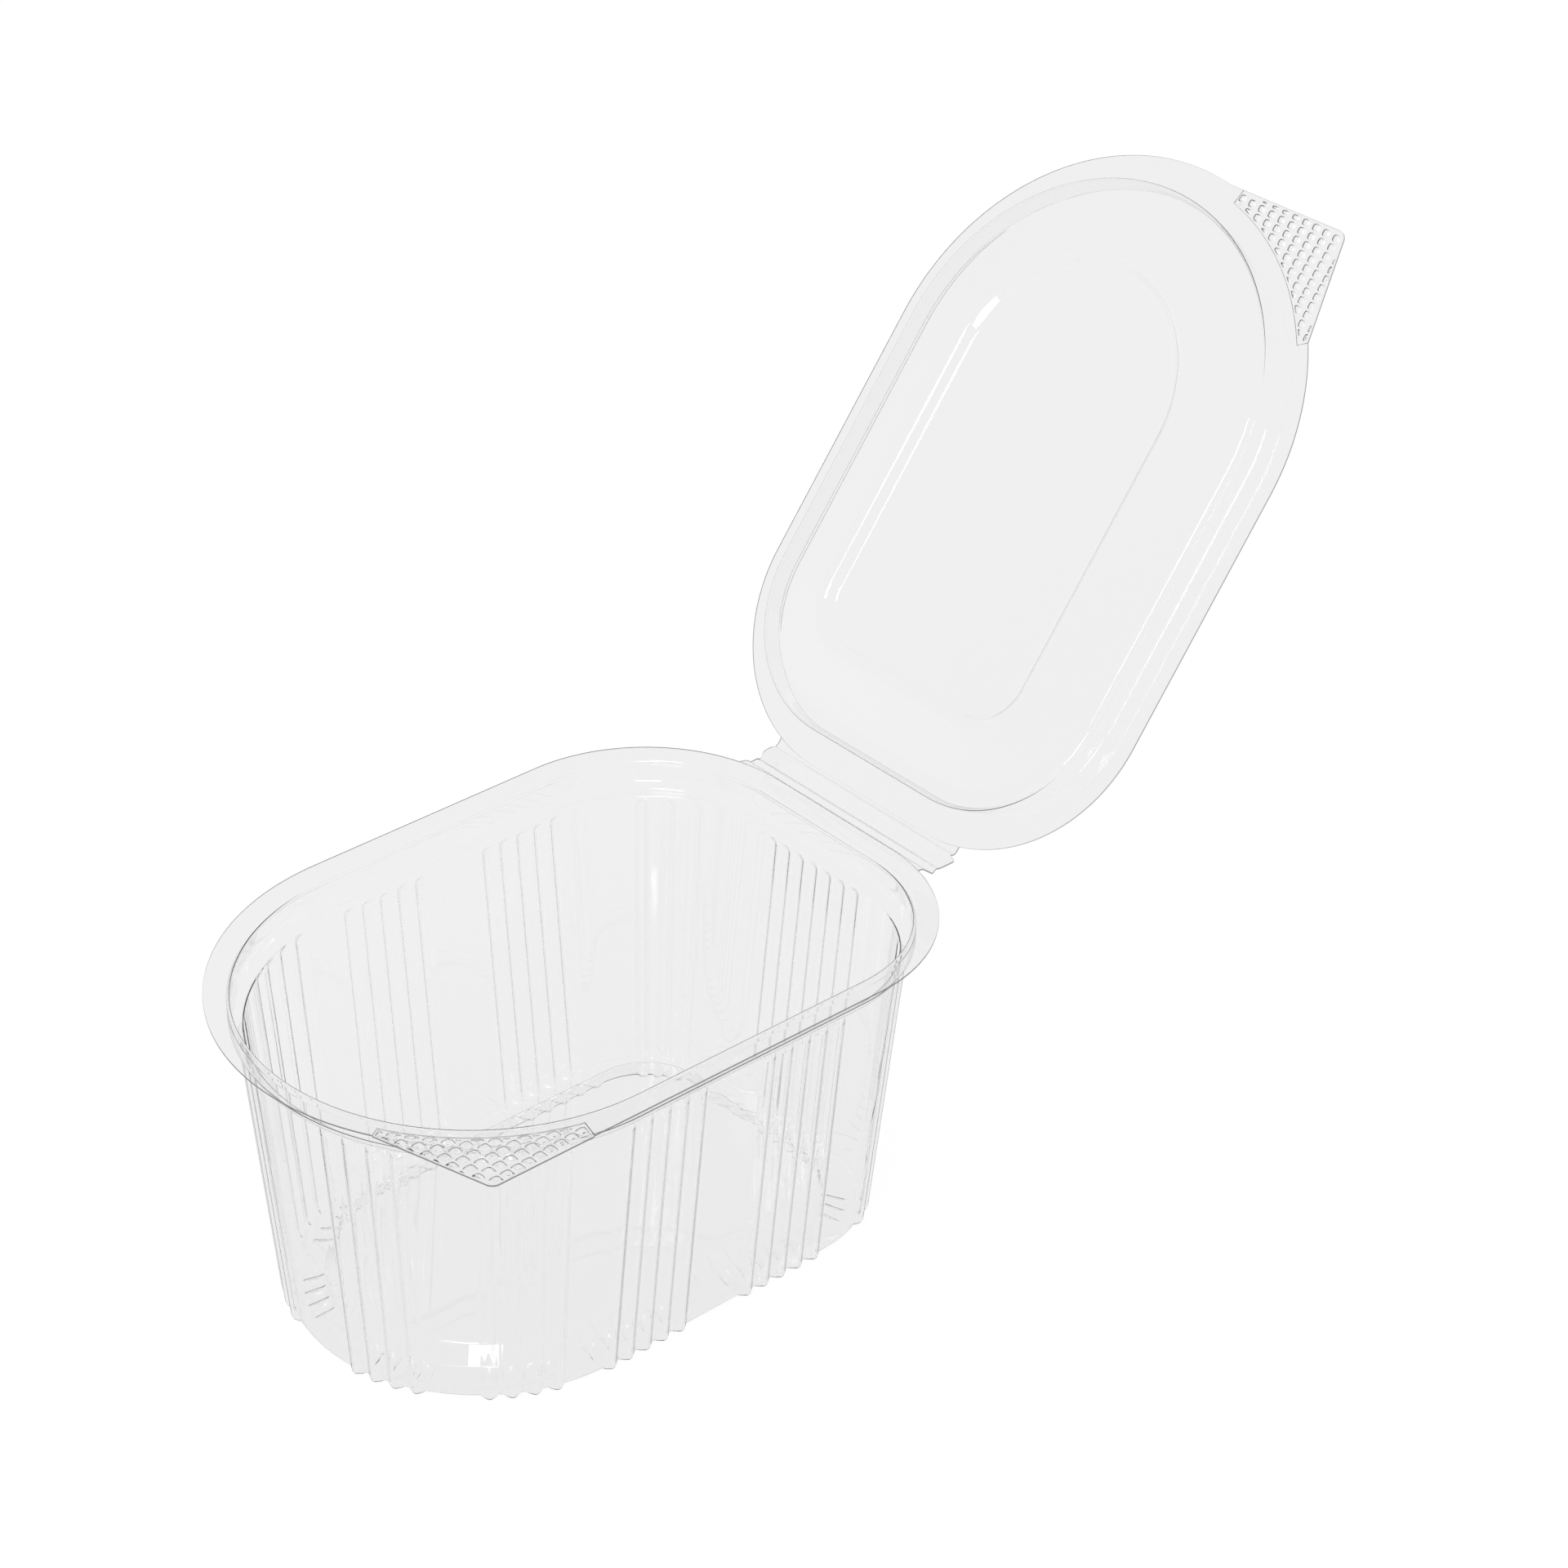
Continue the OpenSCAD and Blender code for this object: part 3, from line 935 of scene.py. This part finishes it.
@dataclass
class HingeStrip:
    """The thin strip between tub and lid, with its pressed ridges and notched ends.

    The -X end has a bell-shaped notch, and the +X end a stretch that stands out."""

    line: Outline
    sheet: Sheet
    hinge: HingeLine
    rim_h: float = RIM_H
    lid_level: float = LID_LEVEL
    half_l: float = 22.0
    rows: int = 45
    columns: int = 90
    notch_at: float = 2.2
    notch_half: float = 1.3
    notch_depth: float = 1.6
    body_from: float = 1.0
    body_to: float = 5.2
    body_ramp: float = 0.12
    body_back: float = 0.9
    body_out: float = 1.7
    turn_from: float = 0.75
    ridges: tuple[Ridge, ...] = (
        Ridge(0.6, 0.35, -0.3),
        Ridge(1.5, 0.4, 0.22),
        Ridge(6.7, 0.35, -0.3),
    )

    def sag(self, x: np.ndarray) -> np.ndarray:
        """How far the outline's corner has drawn back from the crease at each x."""
        out = np.maximum(np.abs(x) - self.line.corner_x, 0)
        return self.line.corner_r - np.sqrt(self.line.corner_r**2 - out**2)

    def reach(self, run: np.ndarray, side: int) -> np.ndarray:
        """Half length at a run across the strip.

        The notch is a bell curve, and the standing stretch the product of two logistic steps.

        Args:
            run: distances across the strip.
            side: -1 for the -X end, 1 for the +X end.

        Returns:
            Half lengths in mm, the shape of run.
        """
        if side < 0:
            bell = np.exp(-(((run - self.notch_at) / self.notch_half) ** 2))
            return self.half_l - self.notch_depth * bell
        rise = 1 + np.exp(-(run - self.body_from) / self.body_ramp)
        fall = 1 + np.exp((run - self.body_to) / self.body_ramp)
        return self.half_l - self.body_back + self.body_out / rise / fall

    def build(self, name: str) -> bpy.types.Object:
        """The closed strip.

        The run goes from the tub's outline over the crease, straight across to the lid's
        crease and up to the lid's outline; the ridges lift it along its normal.

        Args:
            name: the piece's name.

        Returns:
            The new object.
        """
        crease = np.array([self.line.crease_y, self.rim_h])
        edge = np.array([0.0, self.line.crease_y, self.lid_level])
        opened = self.hinge.opened(np.stack([edge, edge - np.array([0.0, 1.0, 0.0])]))[:, 1:]
        far, along_lid = opened[0], opened[1] - opened[0]
        width = float(np.linalg.norm(far - crease))
        across = (far - crease) / width
        share = np.linspace(0, 1, self.rows)
        middle = share * width
        left = -self.reach(middle, -1)
        right = self.reach(middle, 1)
        part = np.linspace(0, 1, self.columns)
        x = left[:, None] + (right - left)[:, None] * part[None]
        sag = self.sag(x)
        run = -sag + share[:, None] * (width + 2 * sag)
        body = np.clip(run, 0, width)
        flat = crease + body[..., None] * across
        before = np.minimum(run, 0)[..., None] * np.array([1.0, 0.0])
        beyond = np.maximum(run - width, 0)[..., None] * along_lid
        top = flat + before + beyond
        lid_normal = np.array([-along_lid[1], along_lid[0]])
        turn = np.clip((run / width - self.turn_from) / (1 - self.turn_from), 0, 1)[..., None]
        normal = (1 - turn) * np.array([0.0, 1.0]) + turn * lid_normal
        normal /= np.linalg.norm(normal, axis=-1, keepdims=True)
        lift = sum(r.height * np.exp(-(((run - r.at) / r.half_width) ** 2)) for r in self.ridges)
        top = top + lift[..., None] * normal
        high = np.concatenate([x[..., None], top], 2)
        low = np.concatenate([x[..., None], top - self.sheet.thickness * normal], 2)
        return slab(name, low, high, (Finish.JOINT, Finish.CUT))


@dataclass(frozen=True)
class Studio:
    """A plain pale floor and surroundings: white behind the object, pale grey seen through it.

    horizon is the surroundings' brightness in reflections at the horizon, which falls to
    mirrored at the height horizon_top. lit is the share of the floor's brightness that comes
    from the light and keeps the shadow."""

    behind: float = 1.02
    through: float = 0.885
    mirrored: float = 0.8
    horizon: float = 1.12
    horizon_top: float = 0.3
    lit: float = 0.08
    floor_half: float = 3.0
    floor_z: float = -0.0004
    lamps: tuple["Lamp", ...] = ()

    def tone(
        self, tree: bpy.types.NodeTree, mirrored: bpy.types.NodeSocket | None = None
    ) -> bpy.types.NodeSocket:
        """Brightness by kind of ray: mirrored, or through the sheet, or straight from behind.

        Args:
            tree: the node tree that gets the nodes.
            mirrored: what mirrored rays see, if it isn't the same everywhere.

        Returns:
            The value's socket.
        """
        path = tree.nodes.new("ShaderNodeLightPath")
        value = mirrored
        for ray, level in (("Is Transmission Ray", self.through), ("Is Camera Ray", self.behind)):
            mix = tree.nodes.new("ShaderNodeMix")
            mix.inputs["A"].default_value = self.mirrored
            mix.inputs["B"].default_value = level
            tree.links.new(path.outputs[ray], mix.inputs["Factor"])
            if value is not None:
                tree.links.new(value, mix.inputs["A"])
            value = mix.outputs["Result"]
        return value

    def surroundings(self, tree: bpy.types.NodeTree) -> bpy.types.NodeSocket:
        """Brightness of the surroundings in reflections: most at the horizon, less above.

        Args:
            tree: the node tree that gets the nodes.

        Returns:
            The value's socket.
        """
        place = tree.nodes.new("ShaderNodeTexCoord")
        split = tree.nodes.new("ShaderNodeSeparateXYZ")
        tree.links.new(place.outputs["Generated"], split.inputs["Vector"])
        ramp = tree.nodes.new("ShaderNodeMapRange")
        ramp.inputs["From Max"].default_value = self.horizon_top
        ramp.inputs["To Min"].default_value = self.horizon
        ramp.inputs["To Max"].default_value = self.mirrored
        tree.links.new(split.outputs["Z"], ramp.inputs["Value"])
        return ramp.outputs["Result"]

    def build(self) -> None:
        """Sets the world, the floor and the lamps."""
        world = bpy.data.worlds.new("studio")
        bpy.context.scene.world = world
        world.use_nodes = True
        background = world.node_tree.nodes["Background"]
        seen = self.tone(world.node_tree, self.surroundings(world.node_tree))
        world.node_tree.links.new(seen, background.inputs["Color"])
        half = self.floor_half
        corners = np.array([[-half, -half], [half, -half], [half, half], [-half, half]])
        points = np.concatenate([corners, np.full((4, 1), self.floor_z)], 1) / MM
        floor = make_mesh("floor", points, [[0, 1, 2, 3]], smooth=False)
        mat = bpy.data.materials.new("floor")
        mat.use_nodes = True
        tree = mat.node_tree
        tree.nodes.remove(tree.nodes["Principled BSDF"])
        glow = tree.nodes.new("ShaderNodeEmission")
        tree.links.new(self.tone(tree), glow.inputs["Color"])
        lit = tree.nodes.new("ShaderNodeBsdfDiffuse")
        lit.inputs["Color"].default_value = (1, 1, 1, 1)
        both = tree.nodes.new("ShaderNodeMixShader")
        both.inputs["Fac"].default_value = self.lit
        tree.links.new(glow.outputs["Emission"], both.inputs[1])
        tree.links.new(lit.outputs["BSDF"], both.inputs[2])
        tree.links.new(both.outputs["Shader"], tree.nodes["Material Output"].inputs["Surface"])
        floor.data.materials.append(mat)
        for spot in self.lamps:
            spot.build()


@dataclass(frozen=True)
class Lamp:
    """A square soft lamp aimed at the object: place and side in metres, power in watts."""

    name: str
    place: tuple[float, float, float]
    watts: float
    size: float
    target: tuple[float, float, float] = (0.0, 0.0, 0.07)

    def build(self) -> None:
        """Makes the lamp."""
        data = bpy.data.lights.new(self.name, "AREA")
        data.energy = self.watts
        data.size = self.size
        obj = bpy.data.objects.new(self.name, data)
        obj.location = self.place
        aim = Vector(self.target) - Vector(self.place)
        obj.rotation_euler = aim.to_track_quat("-Z", "Y").to_euler()
        bpy.context.scene.collection.objects.link(obj)


@dataclass(frozen=True)
class Shot:
    """The photograph's camera: heading, tilt and roll in degrees, place in metres, lens in mm."""

    azimuth: float = 47.7648
    elevation: float = 32.2286
    roll: float = 1.1411
    place: tuple[float, float, float] = (0.4488537, -0.3998948, 0.4486456)
    lens: float = 102.938
    sensor: float = 36.0
    clip_start: float = 0.01

    def build(self) -> None:
        """Makes the camera: right, up and back axes from heading and tilt, then rolled."""
        az, el, roll = (math.radians(v) for v in (self.azimuth, self.elevation, self.roll))
        ahead = Vector((-math.sin(az) * math.cos(el), math.cos(az) * math.cos(el), -math.sin(el)))
        right = Vector((math.cos(az), math.sin(az), 0))
        up = right.cross(ahead)
        turned = right * math.cos(roll) + up * math.sin(roll)
        up = up * math.cos(roll) - right * math.sin(roll)
        frame_ = Matrix((turned, up, -ahead)).transposed().to_4x4()
        frame_.translation = Vector(self.place)
        data = bpy.data.cameras.new("shot")
        data.lens = self.lens
        data.sensor_width = self.sensor
        data.clip_start = self.clip_start
        camera = bpy.data.objects.new("shot", data)
        camera.matrix_world = frame_
        bpy.context.scene.collection.objects.link(camera)
        bpy.context.scene.camera = camera


def main() -> None:
    """Builds and dresses every piece, then the studio and the camera."""
    logging.basicConfig(level=logging.INFO)
    bpy.context.scene.view_settings.view_transform = "Standard"
    line, sheet, flutes, hinge = Outline(), Sheet(), Flutes(), HingeLine()
    clear = ClearSheet("clear sheet").build()
    # The embossed sheets turn almost black edge on: painted shade for the dark crescents on the
    # pyramids' far sides.
    embossed = {
        piece: ClearSheet(name, painted_edge_shade=0.05, edge_from=start, edge_full=full).build()
        for piece, name, start, full in (
            ("tub_grip", "embossed tub sheet", 0.5, 0.78),
            ("lid_grip", "embossed lid sheet", 0.28, 0.5),
        )
    }
    # The cut edges' dark greys are painted shade for the dark lines that the clear edges show by
    # refraction.
    shaded_cuts = {
        Body.TUB: CutEdge("tub cut edge", 0.22).build(),
        Body.LID: CutEdge("lid cut edge", 0.35).build(),
    }
    joint = CutEdge("joined edge", 0.86).build()
    tub_tab = GripTab(
        TabPlan((21.0, -36.373), (42.0, -30.6), (42.0, 0.0)),
        GripField(30.0, 74.5),
        GripPattern((2.336, -0.472), (-0.13, 2.116)),
    )
    lid_tab = GripTab(
        TabPlan((6.0, -41.569), (31.0, -42.0), (34.5, -24.0)),
        GripField(12.4, 55.2),
        GripPattern((2.23, 0.15), (0.03, -1.575), size=1.34, ramp=0.3, height=-0.27, sink=-0.05),
    )
    tub = Tub(line, sheet, flutes, tub_tab).grids()
    lid = Lid(line, sheet, lid_tab, hinge).grids()
    tub_shell = closed_sheet("tub_shell", tub.outside, tub.inside, tub.edge, tub.joined)
    lid_shell = closed_sheet("lid_shell", lid.outside, lid.inside, lid.edge, lid.joined)
    tub_grip = tub_tab.build("tub_grip", line, sheet, TAB_LEVEL)
    lid_grip = lid_tab.build("lid_grip", line, sheet, LID_LEVEL, hinge)
    strip = HingeStrip(line, sheet, hinge).build("hinge_strip")
    for obj in (tub_shell, lid_shell, tub_grip, lid_grip, strip):
        obj.data.materials.append(embossed.get(obj.name, clear))
        obj.data.materials.append(shaded_cuts[Body.TUB if obj in (tub_shell, tub_grip) else Body.LID])
        obj.data.materials.append(joint)
        triangles = sum(len(p.vertices) - 2 for p in obj.data.polygons)
        log.info("%s: %d triangles", obj.name, triangles)
    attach(tub_shell, Body.TUB.value)
    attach(tub_grip, Body.TUB.value)
    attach(lid_shell, Body.LID.value)
    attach(lid_grip, Body.LID.value)
    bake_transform(strip)
    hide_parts("tub")
    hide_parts("lid")
    Studio(
        lamps=(
            Lamp("key_lamp", (0.425, -0.75, 0.92), 3.0, 0.4),
            Lamp("low_lamp", (0.87, -0.79, 0.29), 2.6, 0.38),
        )
    ).build()
    Shot().build()


if __name__ == "__main__":
    main()
